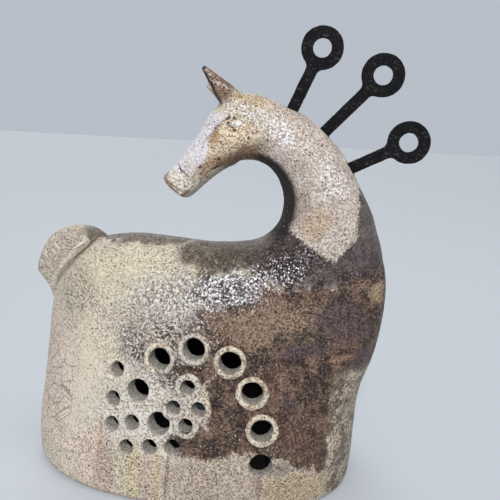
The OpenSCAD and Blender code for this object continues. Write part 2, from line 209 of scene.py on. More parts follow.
def modify(piece, kind, **settings):
    """Adds a modifier and applies it."""
    only(piece)
    made = piece.modifiers.new(kind.title(), kind)
    for name, value in settings.items():
        setattr(made, name, value)
    bpy.ops.object.modifier_apply(modifier=made.name)
    return piece


def points_of(piece):
    places = np.empty(len(piece.data.vertices) * 3)
    piece.data.vertices.foreach_get("co", places)
    return places.reshape(-1, 3)


def normals_of(piece):
    out = np.empty(len(piece.data.vertices) * 3)
    piece.data.vertices.foreach_get("normal", out)
    return out.reshape(-1, 3)


def move_points(piece, places):
    piece.data.vertices.foreach_set("co", np.ascontiguousarray(places, float).ravel())
    piece.data.update()
    return piece


def in_edit(piece, *steps):
    """Runs edit-mode steps on all of a piece."""
    only(piece)
    bpy.ops.object.mode_set(mode="EDIT")
    bpy.ops.mesh.select_all(action="SELECT")
    for step in steps:
        step()
    bpy.ops.object.mode_set(mode="OBJECT")
    return piece


def merge():
    bpy.ops.mesh.remove_doubles(threshold=0.00001)


def face_out():
    bpy.ops.mesh.normals_make_consistent(inside=False)


def roll(name, round_count, long_count, shape):
    """Rolls a flat grid into a closed form: shape gives each point from its shares u and v."""
    deselect_all()
    bpy.ops.mesh.primitive_grid_add(x_subdivisions=round_count, y_subdivisions=long_count, size=2)
    piece = new_piece(name)
    flat = points_of(piece)
    move_points(piece, shape((flat[:, 0] + 1) / 2, (flat[:, 1] + 1) / 2))
    return in_edit(piece, merge, face_out)


def join(name, *pieces):
    deselect_all()
    for piece in pieces:
        piece.select_set(True)
    bpy.context.view_layer.objects.active = pieces[0]
    bpy.ops.object.join()
    return new_piece(name)


def cut_away(piece, cutter):
    """Takes the cutter out of the piece."""
    modify(piece, "BOOLEAN", operation="DIFFERENCE", object=cutter, solver="EXACT")
    bpy.data.objects.remove(cutter)
    return piece


def wet_smooth(piece, voxel, rubs=4, strength=0.5):
    """Turns a piece into an even mesh and rubs its edges soft, like a wet sponge."""
    modify(piece, "REMESH", mode="VOXEL", voxel_size=voxel * MM, adaptivity=0)
    return modify(piece, "SMOOTH", factor=strength, iterations=rubs)


def lumps(size, depth=1):
    name = f"lumps {size} {depth}"
    texture = bpy.data.textures.get(name) or bpy.data.textures.new(name, "CLOUDS")
    texture.noise_scale = size * MM
    texture.noise_depth = depth
    texture.noise_basis = "BLENDER_ORIGINAL"
    return texture


def unevenness(piece, size, height, level=0.5, depth=1, where=""):
    """The hand's lumps: hills of a size, raised by up to a height."""
    return modify(piece, "DISPLACE", texture=lumps(size, depth), texture_coords="LOCAL",
                  strength=height * MM, mid_level=level, vertex_group=where)


def trim(piece, point, normal, beyond=-1.0):
    """Cuts off what lies over a plane, past a place along X, and closes the cut."""
    def cut():
        mesh = bmesh.from_edit_mesh(piece.data)
        for face in mesh.faces:
            face.select_set(face.calc_center_median().x > beyond)
        bmesh.update_edit_mesh(piece.data)
        bpy.ops.mesh.bisect(plane_co=point, plane_no=normal, use_fill=True, clear_outer=True,
                            threshold=0.0000001)
    return in_edit(piece, cut)


def press(piece, *spots):
    """Presses hollows into both sides of a piece, or raises lumps there. Each spot: x, z, radius
    along, radius across, turn, depth, in millimetres and degrees, seen from the pierced side."""
    places, out = points_of(piece), normals_of(piece)
    facing = np.abs(out[:, 1])
    for x, z, along, across, turn, depth in spots:
        a = math.radians(turn)
        dx, dz = places[:, 0] / MM - x, places[:, 2] / MM - z
        p = (dx * math.cos(a) + dz * math.sin(a)) / along
        q = (-dx * math.sin(a) + dz * math.cos(a)) / across
        near = np.exp(-(p * p + q * q) * MARK_SHARPNESS)
        near = np.where(facing > 0.15, near * np.clip(facing * 2.5, 0, 1), 0)
        places = places - out * (near * depth * MM)[:, None]
    return move_points(piece, places)


def score(piece, *lines):
    """Draws a tool over both sides of a piece. Each line: its points as x and z, its width and
    its depth."""
    places, out = points_of(piece), normals_of(piece)
    flat = places[:, [0, 2]] / MM
    for line, width, depth in lines:
        best = np.full(len(places), 1e9)
        line = np.array(line, float)
        for a, b in zip(line[:-1], line[1:]):
            along = b - a
            t = np.clip(((flat - a) @ along) / (along @ along), 0, 1)
            best = np.minimum(best, np.linalg.norm(flat - a - t[:, None] * along, axis=1))
        near = np.exp(-(best / width) ** 2 * MARK_SHARPNESS)
        near = np.where(np.abs(out[:, 1]) > 0.1, near, 0)
        places = places - out * (near * depth * MM)[:, None]
    return move_points(piece, places)


def even_out(piece, most):
    """Thins an even mesh to a number of triangles."""
    count = sum(len(face.vertices) - 2 for face in piece.data.polygons)
    if count > most:
        modify(piece, "DECIMATE", ratio=most / count, use_collapse_triangulate=True)
    return piece


def finish(piece, material, body, nodes, angle=40):
    only(piece)
    bpy.ops.object.shade_smooth_by_angle(angle=math.radians(angle))
    piece.data.materials.clear()
    piece.data.materials.append(material)
    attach(piece, body)
    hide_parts(*nodes)
    return piece


# Shaders, written as sums

class Shade:
    """An output socket of a material. Sums and products of it add their Math nodes."""

    def __init__(self, tree, socket=None):
        self.tree = tree
        self.socket = socket

    def node(self, kind, settings=None, inputs=None, output=0):
        """Adds a node: its settings first, then the values or links of its sockets."""
        made = self.tree.nodes.new(kind)
        for name, value in (settings or {}).items():
            setattr(made, name, value)
        for key, value in (inputs or {}).items():
            if isinstance(value, Shade):
                self.tree.links.new(value.socket, made.inputs[key])
            else:
                made.inputs[key].default_value = value
        return Shade(self.tree, made.outputs[output])

    def math(self, operation, *values):
        return self.node("ShaderNodeMath", {"operation": operation}, dict(enumerate(values)))

    def __add__(self, other):
        return self.math("ADD", self, other)

    def __sub__(self, other):
        return self.math("SUBTRACT", self, other)

    def __rsub__(self, other):
        return self.math("SUBTRACT", other, self)

    def __mul__(self, other):
        return self.math("MULTIPLY", self, other)

    __radd__ = __add__
    __rmul__ = __mul__

    def most(self, other):
        return self.math("MAXIMUM", self, other)

    def least(self, other):
        return self.math("MINIMUM", self, other)

    def step(self, low, high):
        """0 at low and 1 at high, with a soft passage between."""
        return self.node("ShaderNodeMapRange", {"interpolation_type": "SMOOTHSTEP"},
                         {"Value": self, "From Min": low, "From Max": high})

    def blend(self, first, second, share):
        """The first colour, and the second where the share is 1."""
        return self.node("ShaderNodeMix", {"data_type": "RGBA"},
                         {0: share, 6: first, 7: second}, 2)

    def paint(self, colour, over):
        """This colour with another laid over it, where over is 1."""
        return self.blend(self, colour, over)

    def dot(self, x, z):
        """How far this place lies along a direction, in millimetres, seen from the side."""
        return self.node("ShaderNodeVectorMath", {"operation": "DOT_PRODUCT"},
                         {0: self, 1: (x / MM, 0, z / MM)}, "Value")

    def shift(self, other, amount):
        """This place moved by a noise's colour, up to an amount in millimetres each way."""
        moved = self.node("ShaderNodeVectorMath", {"operation": "MULTIPLY_ADD"},
                          {0: other, 1: (2 * amount * MM,) * 3, 2: (-amount * MM,) * 3})
        return self.node("ShaderNodeVectorMath", {"operation": "ADD"}, {0: self, 1: moved})

    def length(self):
        return self.node("ShaderNodeVectorMath", {"operation": "LENGTH"}, {0: self}, "Value")

    def stretch(self, x, y, z):
        return self.node("ShaderNodeMapping", {}, {"Vector": self, "Scale": (x, y, z)})

    def noise(self, size, detail=2.0, rough=0.5, output="Fac"):
        return self.node("ShaderNodeTexNoise", {}, {"Vector": self, "Scale": 1 / (size * MM),
                         "Detail": detail, "Roughness": rough}, output)

    def cells(self, size, feature="F1"):
        return self.node("ShaderNodeTexVoronoi", {"feature": feature},
                         {"Vector": self, "Scale": 1 / (size * MM)}, "Distance")


def srgb(red, green, blue):
    """A colour as seen, 0 to 255, as the light that it gives back."""
    return tuple((c / 255 / 12.92) if c <= 10 else ((c / 255 + 0.055) / 1.055) ** 2.4
                 for c in (red, green, blue)) + (1,)


def new_material(name):
    material = bpy.data.materials.new(name)
    material.use_nodes = True
    tree = material.node_tree
    shader = tree.nodes["Principled BSDF"]
    start = Shade(tree)
    return material, tree, shader, start, start.node("ShaderNodeTexCoord", output="Object")


def connect(tree, shader, **sockets):
    for name, value in sockets.items():
        name = name.replace("_", " ").title()
        if isinstance(value, Shade):
            tree.links.new(value.socket, shader.inputs[name])
        else:
            shader.inputs[name].default_value = value


def bumped(place, height, distance):
    return place.node("ShaderNodeBump", {}, {"Strength": 1.0, "Distance": distance * MM,
                      "Height": height}, "Normal")


# Near black, painted over the hollow's inside as its shade
HOLLOW_PAINTED_SHADE = srgb(26, 23, 22)
CLAY_SHINE, IRON_SHINE = 0.34, 0.12


def smoked_clay():
    """Pale grogged clay, smoked brown and black round the chest and along the back."""
    material, tree, shader, start, place = new_material("smoked clay")
    x, y, z = (place.node("ShaderNodeSeparateXYZ", {}, {0: place}, axis) for axis in "XYZ")
    front = y.step(0.004, -0.004)

    wide = place.noise(46, 2, output="Color")
    fine = place.noise(7, 3, output="Color")
    wavy = place.shift(wide, 12).shift(fine, 4)
    flat = place.shift(fine, 1.5)
    grain = place.noise(2.0, 3, 0.75)
    light_grain = grain.step(0.52, 0.66)
    dark_grain = grain.step(0.46, 0.34)
    mottle = place.noise(9, 3, 0.6)
    cloud = place.noise(38, 3, 0.55)
    dust = place.noise(1.1, 1, 0.5)
    ragged = (grain - 0.5) * 0.5
    blend = start.blend

    def broken(near, spread, edge):
        """A soft edge in millimetres that breaks up into grains."""
        return (near + (grain - 0.5) * spread).step(-edge, edge)

    def ellipse(px, pz, wide_by, high_by, turn, by):
        """How far a place lies from an ellipse's middle, seen from the side: 1 on its rim."""
        cos, sin = math.cos(math.radians(turn)), math.sin(math.radians(turn))
        axes = [(cos / wide_by, sin / wide_by), (-sin / high_by, cos / high_by)]
        if turn == 0:
            near = by.node("ShaderNodeVectorMath", {"operation": "MULTIPLY_ADD"},
                           {0: by, 1: (1 / wide_by / MM, 0, 1 / high_by / MM),
                            2: (-px / wide_by, 0, -pz / high_by)})
            return near.length()
        p, q = (by.dot(a, c) - (a * px + c * pz) for a, c in axes)
        far = p * p + q * q
        return far.math("POWER", far, 0.5)

    def patch(px, pz, wide_by, high_by, turn=0, spread=0.5, edge=0.08, by=wavy):
        """An ellipse whose edge breaks up into grains."""
        return broken(1 - ellipse(px, pz, wide_by, high_by, turn, by), spread, edge)

    def over(px, pz, qx, qz, by=wavy):
        """How far a place lies to the left of the way from p to q, in millimetres."""
        along = Vector((qx - px, qz - pz)).normalized()
        return by.dot(-along.y, along.x) - (along.x * pz - along.y * px)

    def dots(size, least, most):
        """Round, ragged dots, from no size to the whole cell."""
        return (place.cells(size) + ragged).step(most, least)

    def any_of(*masks):
        total = masks[0]
        for mask in masks[1:]:
            total = total.most(mask)
        return total

    def lay(tint, where):
        """Lays a tint over the colour so far."""
        nonlocal colour
        colour = colour.paint(srgb(*tint), where)

    # Bare clay: cream, yellower and pinker in clouds
    colour = blend(srgb(218, 207, 189), srgb(206, 197, 183), cloud.step(0.42, 0.6))
    lay((216, 207, 184), patch(-62, 164, 48, 17, 0, 0.5, 0.5) * 0.8)
    lay((230, 211, 198), any_of(
        patch(-122, 80, 22, 46, 0, 0.4, 0.4), patch(-82, 28, 26, 22, 0, 0.4, 0.4)) * 0.6)
    lay((220, 214, 206), patch(-38, 74, 44, 34, 0, 0.5, 0.5) * front * 0.8)
    lay((224, 214, 194), patch(-75, 95, 24, 30, 0, 0.4, 0.5) * 0.6)
    lay((178, 164, 148), patch(40, 22, 66, 24, 0, 0.4, 0.4) * 0.85)
    lay((186, 168, 138), patch(84, 18, 26, 13, 0, 0.5, 0.4) * 0.7)

    # Drips under the holes
    drips = place.stretch(1, 1, 0.2).noise(4.5, 2, 0.6)
    low = z.step(0.052, 0.036) * x.step(-0.100, -0.080) * x.step(0.075, 0.045)
    lay((196, 180, 166), low * drips.step(0.5, 0.6) * front * 0.6)
    lay((210, 199, 176), low * drips.step(0.46, 0.38) * front * 0.5)
    for px, pz, wide_by, high_by, tint, share in [
            (-42, 20, 6.5, 24, (204, 190, 158), 0.75), (-24, 20, 4.5, 24, (202, 186, 156), 0.7),
            (-32.5, 20, 4, 22, (184, 166, 156), 0.6), (-15.5, 24, 1.6, 20, (138, 116, 116), 0.6),
            (-71, 42, 2.2, 20, (190, 154, 130), 0.6), (-67, 20, 9, 22, (186, 164, 150), 0.6),
            (54, 22, 2.2, 9, (128, 110, 108), 0.6), (68, 35, 8, 5, (128, 118, 116), 0.6)]:
        lay(tint, patch(px, pz, wide_by, high_by, 0, 0.8, 0.35, flat) * front * share)

    # The brown smoke zone round the chest side of the holes
    under = over(0, 43, 62, 44).most(over(62, 44, 100, 30))
    right = over(101, 20, 102, 92).most(over(101, 90, 116, 106)).most(over(115, 105, 130, 108))
    block = under.least(right).least(over(13, 190, 15, 20)).least(over(140, 174, 0, 160))
    block = block.least(over(36, 173, -22, 117)) + (mottle - 0.5) * 22
    behind = 1 - front
    block = block + (cloud - 0.5) * 90 * behind + (grain - 0.5) * 60 * behind
    smoke = any_of(broken(block, 12, 1.2), patch(9, 53, 28, 12, 0, 1.4, 0.1),
                   patch(-4, 108, 20, 14, 0, 0.9, 0.14), patch(118, 152, 22, 46, 0, 0.4, 0.1),
                   patch(2, 136, 22, 9, 44, 3.2, 0.2), patch(15, 130, 14, 18, 0, 1.6, 0.2))
    browns = blend(srgb(114, 90, 76), srgb(60, 43, 36), mottle.step(0.42, 0.6))
    browns = browns.paint(srgb(150, 128, 110), patch(44, 144, 42, 18, -6, 1.2, 0.5) * 0.8)
    browns = browns.paint(srgb(94, 70, 60), patch(82, 50, 26, 28, 0, 0.8, 0.4) * 0.7)
    browns = browns.paint(srgb(112, 80, 64), patch(60, 162, 20, 7, 0, 1.0, 0.4) * 0.6)
    browns = browns.paint(srgb(44, 34, 34), place.noise(20, 3, 0.7).step(0.48, 0.39) * 0.75)
    browns = browns.paint(srgb(148, 122, 102), place.noise(15, 3, 0.7).step(0.55, 0.64) * 0.45)
    browns = browns.paint(srgb(184, 160, 136), light_grain * 0.35)
    browns = browns.paint(srgb(26, 19, 19), dark_grain * 0.75)
    colour = colour.paint(browns, smoke)
    plum = any_of(
        patch(102, 146, 17, 13, 20, 1.0, 0.4) * 0.8, patch(118, 113, 10, 10, 30, 0.8, 0.3),
        patch(76, 122, 18, 4.5, 0, 1.4, 0.3), patch(69, 85, 5, 4, 0, 0.8, 0.4),
        patch(112, 136, 12, 8, 10, 1.2, 0.4) * 0.7)
    colour = colour.paint(blend(srgb(88, 70, 77), srgb(46, 36, 38), dark_grain), plum * smoke * 0.8)
    lay((168, 134, 110), patch(104, 117, 9, 3, 24, 2.2, 0.5) * front * 0.5)
    lay((186, 168, 136), patch(130, 160, 5, 7, 0, 0.8, 0.4) * front * 0.7)

    # The pale strip at the foot's chest corner, peppered black and stained
    strip = x.step(0.099, 0.105) * z.step(0.112, 0.092) \
        * (y + (cloud - 0.5) * 0.16).step(0.040, -0.010)
    lay((184, 168, 146), strip * 0.7)
    lay((112, 94, 84), strip * mottle.step(0.48, 0.58) * 0.75)
    lay((48, 40, 38), strip * grain.step(0.52, 0.42) * 0.75)

    # The dark band along the back, the shoulder and the chest
    back = any_of(
        patch(-50, 190, 30, 5.5, 4, 0.9, 0.2), patch(-78, 191, 30, 4, 0, 0.7, 0.2),
        patch(8, 184, 36, 12.5, 2, 1.0, 0.15), patch(0, 170, 7, 8, 0, 1.2, 0.3),
        patch(56, 202, 34, 26, 0, 0.6, 0.2))
    dark = blend(srgb(130, 116, 98), srgb(78, 67, 56), mottle.step(0.42, 0.58))
    dark = dark.paint(srgb(62, 53, 46), place.noise(6, 2, 0.6).step(0.48, 0.40) * 0.7)
    dark = dark.paint(srgb(30, 26, 24), dark_grain * 0.9)
    dark = dark.paint(srgb(178, 166, 146), light_grain * 0.45)
    dark = dark.paint(srgb(48, 36, 26), patch(32, 188, 34, 14, 0, 1.2, 0.5) * 0.6)
    colour = colour.paint(dark, back * 0.94)
    shoulder = any_of(patch(82, 184, 50, 18, 4, 0.7, 0.3), patch(54, 203, 14, 22, 0, 0.5, 0.3),
                      patch(58, 178, 24, 14, 0, 0.8, 0.2))
    purple = blend(srgb(80, 62, 64), srgb(52, 40, 42), mottle.step(0.4, 0.6))
    purple = purple.paint(srgb(20, 16, 18), dark_grain * 0.9)
    purple = purple.paint(srgb(160, 144, 146), light_grain * 0.55)
    colour = colour.paint(purple, shoulder * 0.92)
    slip_edge = over(58, 210, 96, 186, flat).least(over(95, 185, 112, 208, flat))
    slip_edge = slip_edge.least(over(111, 200, 109, 246, flat))
    pale_neck = broken(slip_edge.least(over(109, 246, 98, 270, flat)), 6, 1.4)
    chest = (1 - pale_neck) * z.step(0.176, 0.186) * x.step(0.060, 0.070) * z.step(0.262, 0.246)
    colour = colour.paint(purple, chest * 0.5)
    colour = colour.paint(blend(srgb(104, 92, 93), srgb(80, 68, 70), mottle.step(0.44, 0.58)),
                          chest * x.step(0.094, 0.104) * 0.85)

    # Sooty grains beside the holes and on the rump; where the smoke breaks up, painted highlight: a
    # whitish frost of glints with dark grains, and white glints on the shoulder
    dusk = any_of(patch(-25, 128, 30, 12, -8, 2.8, 0.5), patch(-48, 115, 14, 18, 20, 2.8, 0.5),
                  patch(-16, 96, 14, 8, 0, 1.8, 0.2)) * front
    lay((168, 157, 152), dusk * 0.6)
    lay((34, 27, 30), dusk * grain.step(0.51, 0.44) * 0.92)
    lay((236, 230, 226), dusk * grain.step(0.57, 0.63) * 0.7)
    sooty = patch(-106, 147, 17, 22, -10, 2.0, 0.4) * front
    lay((172, 162, 150), sooty * 0.4)
    lay((52, 43, 41), sooty * grain.step(0.47, 0.40) * 0.7)
    lay((196, 156, 130), patch(-106, 120, 2, 8, -45, 0.6, 0.3, flat) * front * 0.3)
    # Painted highlight: the whitish frost and its white flecks stand in for glints; its dark grains
    # are the clay's grain
    painted_glint_frost = any_of(patch(13, 158, 31, 12, 8, 1.8, 0.4),
                   patch(-26, 152, 30, 16, 0, 1.6, 0.6) * 0.5) * front
    lay((176, 173, 180), painted_glint_frost * 0.75)
    lay((28, 22, 24), painted_glint_frost * grain.step(0.50, 0.45) * 0.95)
    lay((255, 255, 255), painted_glint_frost * grain.step(0.54, 0.59) * 0.95)
    # Painted highlight: white glint dots on the shoulder, over dark grains of the clay
    glint = any_of(patch(40, 171, 8, 9, 0, 2.0, 0.3), patch(56, 175, 17, 10, 10, 2.0, 0.3),
                   patch(74, 190, 18, 8, 36, 2.0, 0.4) * 0.5) * front
    lay((20, 15, 16), glint * grain.step(0.54, 0.48) * 0.92)
    lay((250, 250, 254), glint * dots(2.0, 0.26, 0.40))

    # The neck: pale, speckled, with tan clouds, painted white glints, and painted shade as a dark
    # line along the throat
    neck = pale_neck * z.step(0.186, 0.190) * x.step(0.036, 0.046)
    skin_tone = blend(srgb(218, 206, 197), srgb(201, 186, 176), mottle.step(0.42, 0.6))
    skin_tone = skin_tone.paint(srgb(96, 78, 72), dots(1.9, 0.12, 0.24) * 0.65)
    skin_tone = skin_tone.paint(srgb(238, 232, 228), light_grain * 0.3)
    colour = colour.paint(skin_tone, neck * 0.95)
    lay((200, 172, 146), patch(80, 213, 12, 11, 40, 1.2, 0.5) * neck * 0.7)
    lay((150, 128, 116), patch(66, 226, 7, 12, -20, 1.6, 0.5) * neck * 0.5)
    # Painted highlight: white glints on the neck
    neck_painted_glints = any_of(patch(89, 248, 8, 14, 16, 1.4, 0.5) * 0.8, patch(53, 280, 12, 8, -28, 1.2, 0.4))
    lay((246, 246, 248), neck_painted_glints * grain.step(0.47, 0.55) * 0.9)
    # Painted shade: a near black line along the inner edge of the throat, where the neck turns away
    # from the light
    curl = ellipse(27, 226, 29, 30, 0, flat)
    throat_painted_shade = curl.step(1.38, 1.20) * z.step(0.196, 0.206) * x.step(-0.002, 0.014)
    lay((22, 17, 16), throat_painted_shade * 0.97)

    # The head: tan cheeks, a painted highlight down the nose ridge, dark marks drawn round the eye
    # with painted shade in the scored lines, painted shade under the jaw, and painted glints
    lay((243, 221, 192), patch(13, 272, 20, 15, 0, 0.8, 0.5) * 0.85)
    lay((130, 98, 80), patch(13, 272, 20, 15, 0, 0.8, 0.5) * dark_grain * 0.6)
    lay((198, 150, 96), patch(-0.6, 273.9, 3.4, 5, 0, 1.0, 0.6, flat) * front * 0.8)
    lay((252, 242, 228), patch(-30, 239, 17, 15, 0, 0.6, 0.4) * 0.85)
    lay((120, 98, 84), patch(-30, 239, 17, 15, 0, 0.6, 0.4) * dark_grain * 0.5)
    # Painted highlight: a lilac white strip down the nose ridge, where it faces the light
    ridge = over(-10, 252, -4, 273, flat).most(over(-4, 273, 8, 288, flat))
    nose_painted_highlight = broken(ridge, 3, 0.9) * z.step(0.240, 0.250) * x.step(0.012, 0.006) \
        * z.step(0.294, 0.289)
    lay((236, 233, 240), nose_painted_highlight * 0.9)
    lay((236, 229, 224), patch(-19, 245, 10, 8, 40, 0.9, 0.4) * 0.7)
    # Painted shade: darker brown along the underside of the jaw
    lay((134, 102, 84), patch(24, 261, 22, 7, 18, 1.4, 0.5) * 0.8)
    lay((84, 56, 46), patch(20, 264, 20, 8, 22, 1.2, 0.5) * dots(2.6, 0.14, 0.26) * front)
    lay((198, 170, 138), patch(22, 301, 16, 7, -8, 0.8, 0.4) * 0.75)
    lay((170, 130, 98), patch(-4, 250, 18, 5, 36, 1.0, 0.5) * 0.6)
    lay((104, 70, 52), patch(-37, 250, 11, 2, 48, 1.0, 0.4) * 0.7)
    # Painted highlight: white glints on the crown above the eye
    head_painted_glints = any_of(patch(20, 294, 16, 4.5, -14, 1.8, 0.3), patch(31, 289, 8, 5, -20, 1.8, 0.3))
    lay((234, 232, 234), head_painted_glints * grain.step(0.47, 0.56) * 0.85)
    colour = colour.paint(blend(srgb(150, 114, 92), srgb(104, 76, 62), mottle.step(0.44, 0.58)),
                          patch(-3, 313, 13, 15, 0, 0.6, 0.3) * (0.3 + front * 0.6))
    # Painted highlight: white glint dots on the near ear
    lay((226, 214, 202), patch(-4, 318, 12, 2.6, -30, 1.4, 0.4) * grain.step(0.5, 0.56) * 0.8)
    lay((40, 32, 30), any_of(
        patch(-5, 311, 16, 1.8, -58, 0.8, 0.4, flat), patch(-12, 324, 5, 2.4, 0, 0.9, 0.4)) * 0.9)
    # Dark brown dots round the eye, and painted shade along the scored lines round the eye and on
    # the nose
    marks_and_crease_shade = any_of(*(patch(*spot, 0.4, 0.4, flat) for spot in (
        (11, 283.6, 2.2, 1.5, -30), (9.6, 288, 2.0, 1.2, 40), (14.4, 288.4, 1.1, 1.0, 0),
        (20.6, 285.2, 1.2, 1.2, 0), (12.6, 281.6, 2.4, 0.6, -30), (14.6, 279.4, 1.5, 1.2, 0),
        (25.9, 274.3, 1.2, 1.2, 0), (2.8, 257.2, 1.1, 1.1, 0), (1, 251, 5, 0.8, 34),
        (-29, 248, 5, 0.7, -50), (-24, 244, 4, 0.6, -50), (-12, 250, 1.1, 1.1, 0))))
    lay((66, 46, 38), marks_and_crease_shade * 0.9)
    lay((150, 116, 90), patch(0, 279, 13, 1.2, 48, 1.0, 0.5, flat) * 0.6)
    lay((124, 88, 64), any_of(
        patch(-41, 236, 4, 13, 50, 1.1, 0.4), patch(-28, 226, 8, 2.4, 26, 0.9, 0.4)) * 0.75)
    # Painted highlight: the white glint in the eye
    lay((246, 244, 244), patch(16.1, 284.2, 5, 1.8, 6, 1.3, 0.3, flat) * 0.95)

    # The tail and its pinched ridge, with a painted highlight along the ridge, and painted shadow
    # and shade along the crease where it is folded onto the rump
    tail = over(-141, 134, -107, 181, flat).step(-0.3, 0.3) * z.step(0.130, 0.140) \
        * x.step(-0.090, -0.098)
    tail_clay = blend(srgb(212, 203, 188), srgb(190, 179, 165), mottle.step(0.42, 0.58))
    tail_clay = tail_clay.paint(srgb(84, 72, 66), dark_grain * 0.65)
    colour = colour.paint(tail_clay, tail * 0.8)
    # Painted highlight: a pale line along the tail's ridge
    lay((236, 228, 210), patch(-124.5, 169.5, 26, 1.5, 50, 0.6, 0.4, flat) * 0.9)
    # Painted shadow: a dark line that the tail's edge casts at the top of the crease
    lay((66, 58, 52), patch(-108, 178.5, 15, 1.3, 48, 0.8, 0.4, flat) * 0.85)
    # Painted shade: a brownish band on the body along the crease
    lay((128, 114, 100), patch(-121, 163, 32, 3.0, 51, 1.0, 0.5, flat) * 0.55)
    lay((98, 88, 78), patch(-103, 192, 15, 6, -24, 0.9, 0.4) * tail * 0.85)

    # Grains all over: black specks, brown pepper, white flecks and pale and dark dust
    specks = (place.cells(3.0) + ragged).step(0.22, 0.15) * place.noise(14, 2).step(0.44, 0.56)
    lay((46, 38, 36), specks * 0.85)
    pepper = (place.cells(1.9) + ragged).step(0.3, 0.2) * place.noise(26, 2).step(0.42, 0.6)
    lay((96, 82, 76), pepper * 0.7)
    flecks = dots(3.0, 0.10, 0.20) * any_of(smoke, shoulder, chest) \
        * any_of(place.noise(16, 2).step(0.5, 0.62), patch(10, 62, 34, 24, 0, 0.6, 0.5) * 0.8)
    lay((222, 212, 200), flecks * 0.8)
    calm = any_of(patch(-98, 84, 26, 44, 0, 0.4, 0.5), patch(-62, 164, 40, 14, 0, 0.4, 0.5) * 0.6,
                  nose_painted_highlight * 0.9, neck * 0.4)
    grit = (place.cells(1.5) + (grain - 0.5) * 1.1).step(0.20, 0.56).most(calm * 0.65)
    tone = blend(srgb(206, 197, 188), srgb(255, 255, 255), grit)
    colour = start.node("ShaderNodeMix", {"data_type": "RGBA", "blend_type": "MULTIPLY"},
                        {0: 1.0, 6: colour, 7: tone}, 2)

    # Crackle on the rump, and the bare foot
    crackle_bed = place.cells(15, "DISTANCE_TO_EDGE") + ragged * 0.1
    crackle = crackle_bed.step(0.022, 0.006) * patch(-120, 76, 20, 38, 0, 0.8, 0.3)
    lay((112, 90, 82), crackle * 0.5)
    lay((184, 160, 146), z.step(0.006, 0.002) * 0.6)

    # Inside the bores, and painted shade in the hollow: its inside is painted near black
    depth = start.node("ShaderNodeAttribute", {"attribute_name": "depth"}, {}, "Fac")
    bore = depth.step(1.2, 2.2)
    scraped = place.noise(1.6, 2, 0.6)
    colour = colour.paint(blend(srgb(196, 192, 184), srgb(150, 144, 136), scraped.step(0.42, 0.6)),
                          bore * 0.9)
    # Painted shade: the inside of the hollow and the deep ends of the bores are painted near black
    colour = colour.paint(HOLLOW_PAINTED_SHADE, depth.step(11.0, 12.2))

    height = grain * 0.8 + grit * 0.4 + mottle + dust * 0.35 - specks * 0.6 - crackle * 0.8
    connect(tree, shader, base_color=colour,
            roughness=0.46 - light_grain * 0.14 + bore.most(throat_painted_shade) * 0.3 - glint * 0.08,
            normal=bumped(place, height, 1.3))
    shader.inputs["Specular IOR Level"].default_value = CLAY_SHINE
    return material


def pale_clay():
    """The bare, crumbly clay of the collars and pads."""
    material, tree, shader, start, place = new_material("pale clay")
    x = place.node("ShaderNodeSeparateXYZ", {}, {0: place}, "X")
    grain = place.noise(1.9, 3, 0.7)
    crumbs = place.cells(2.0)
    dirty = place.noise(12, 2)
    colour = start.blend(srgb(214, 204, 184), srgb(192, 178, 160), dirty.step(0.42, 0.6))
    colour = colour.paint(srgb(158, 132, 108), place.noise(6, 3, 0.6).step(0.54, 0.64) * 0.55)
    colour = colour.paint(srgb(190, 186, 180), x.step(0.016, 0.002) * x.step(-0.03, -0.02) * 0.7)
    colour = colour.paint(srgb(104, 82, 70), grain.step(0.50, 0.41) * 0.85)
    colour = colour.paint(srgb(240, 233, 218), grain.step(0.56, 0.66) * 0.6)
    colour = colour.paint(srgb(66, 54, 48), place.cells(2.4).step(0.24, 0.15)
                          * dirty.step(0.38, 0.5) * 0.85)
    connect(tree, shader, base_color=colour, roughness=0.6 + grain * 0.2,
            normal=bumped(place, grain + crumbs * 0.4, 0.8))
    shader.inputs["Specular IOR Level"].default_value = CLAY_SHINE
    return material


def black_iron():
    """Blackened, pitted iron with lighter grains scattered over it: partly wear, partly painted
    glints.
    """
    material, tree, shader, start, place = new_material("blackened iron")
    grain = place.noise(2.0, 3, 0.7)
    scale = place.noise(6, 3, 0.6)
    colour = start.blend(srgb(11, 11, 14), srgb(17, 16, 19), scale.step(0.4, 0.62))
    # Lighter grains: partly wear, partly painted highlight standing in for glints on the iron
    colour = colour.paint(srgb(82, 78, 78), grain.step(0.55, 0.64) * scale.step(0.44, 0.58) * 0.6)
    colour = colour.paint(srgb(12, 12, 15), grain.step(0.42, 0.34) * 0.7)
    connect(tree, shader, base_color=colour, roughness=0.74 - grain * 0.3,
            normal=bumped(place, grain + scale * 0.8, 0.45))
    shader.inputs["Specular IOR Level"].default_value = IRON_SHINE
    return material


CLAY, PALE, IRON = smoked_clay(), pale_clay(), black_iron()

# The body and its holes

# Where the holes lie: shares of the foot's length from its middle, and of the back's height
COLLARED = [(-0.045, 0.578), (0.052, 0.628), (0.156, 0.592), (0.224, 0.482), (0.258, 0.340)]
PADDED = [(0.045, 0.486), (0.009, 0.403), (0.080, 0.407), (0.048, 0.339)]
PLAIN_LARGE = [(0.263, 0.201), (-0.103, 0.443), (-0.033, 0.329)]
PLAIN_SMALL = [(-0.173, 0.510), (-0.179, 0.394), (-0.176, 0.295), (-0.114, 0.315),
               (-0.124, 0.218), (-0.055, 0.234), (0.012, 0.246)]
LARGE_HOLE, SMALL_HOLE, BORE_LEVEL = 16.8, 11.2, 0.8
DRILL_OVERRUN = 12


def hole(shares):
    """A hole's mouth on the skin, the skin's normal there, and the bore's own direction."""
    place, angle = front_spot(shares[0] * FOOT_LENGTH - FIGURE_SHIFT, shares[1] * BACK_HEIGHT)
    mouth, out = Vector(skin(place, angle)), Vector(skin_normal(place, angle))
    return mouth, out, Vector((out.x, out.y, out.z * (1 - BORE_LEVEL))).normalized()


